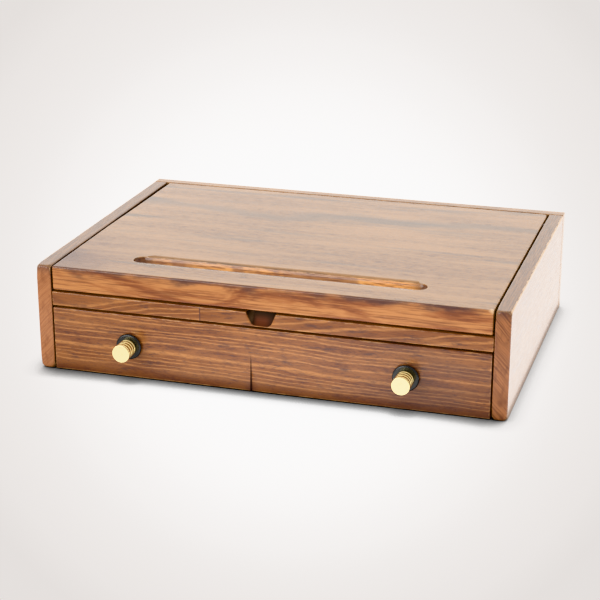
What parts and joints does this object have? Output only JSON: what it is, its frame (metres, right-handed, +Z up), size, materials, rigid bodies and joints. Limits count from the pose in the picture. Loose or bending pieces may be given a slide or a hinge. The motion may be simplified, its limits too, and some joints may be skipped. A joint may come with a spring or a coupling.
{
  "type": "desktop writing box",
  "caption": "Low stained-wood desktop box with a lid that lifts, a routed pen groove, a shallow paper compartment and a full-width drawer with turned brass knobs.",
  "frame": {"origin": "middle of the base of the bounding box, knobs included, on the surface that the box stands on", "axes": "+X to the right seen from the front, +Y to the back, +Z up; the drawer and the lid's free edge face -Y"},
  "size_m": [0.375, 0.2804, 0.086],
  "materials": {
    "stained_pine_case": "medium brown stain, satin varnish, worn edges",
    "stained_pine_lid": "medium brown stain, satin varnish, worn edges",
    "stained_pine_drawer": "medium brown stain, satin varnish",
    "plywood": "thin birch plywood, thin clear coat",
    "dowel_beech": "raw beech dowel",
    "polished_brass": "polished, turned",
    "black_rubber": "moulded, slightly glossy",
    "bright_steel": "zinc plated",
    "brown_felt": "dense felt"
  },
  "bodies": {
    "case": {"side_panel_left": "stained_pine_case", "side_panel_right": "stained_pine_case", "back_panel": "stained_pine_case", "front_rail": "stained_pine_case", "compartment_floor": "plywood", "bottom_panel": "plywood", "lid_pad_left": "brown_felt", "lid_pad_right": "brown_felt", "lid_pivot_pin_left": "bright_steel", "lid_pivot_pin_right": "bright_steel", "rail_dowel_left": "dowel_beech", "rail_dowel_right": "dowel_beech", "back_dowel_left_lower": "dowel_beech", "back_dowel_left_upper": "dowel_beech", "back_dowel_right_lower": "dowel_beech", "back_dowel_right_upper": "dowel_beech"},
    "drawer": {"drawer_front": "stained_pine_drawer", "drawer_side_left": "stained_pine_drawer", "drawer_side_right": "stained_pine_drawer", "drawer_back": "stained_pine_drawer", "drawer_bottom": "plywood", "knob_left": "polished_brass", "knob_right": "polished_brass", "knob_washer_left": "black_rubber", "knob_washer_right": "black_rubber", "knob_screw_left": "bright_steel", "knob_screw_right": "bright_steel", "drawer_brad_front_left_lower": "bright_steel", "drawer_brad_front_left_upper": "bright_steel", "drawer_brad_front_right_lower": "bright_steel", "drawer_brad_front_right_upper": "bright_steel", "drawer_brad_back_left_lower": "bright_steel", "drawer_brad_back_left_upper": "bright_steel", "drawer_brad_back_right_lower": "bright_steel", "drawer_brad_back_right_upper": "bright_steel"},
    "lid": {"lid": "stained_pine_lid"}
  },
  "joints": [
    {"name": "lid_hinge", "type": "hinge", "parent": "case", "child": "lid", "pos_m": [0, 0.11425, 0.08], "axis": [-1, 0, 0], "range_deg": [0, 137]},
    {"name": "drawer_slide", "type": "slide", "parent": "case", "child": "drawer", "axis": [0, -1, 0], "range_m": [0, 0.2]}
  ]
}
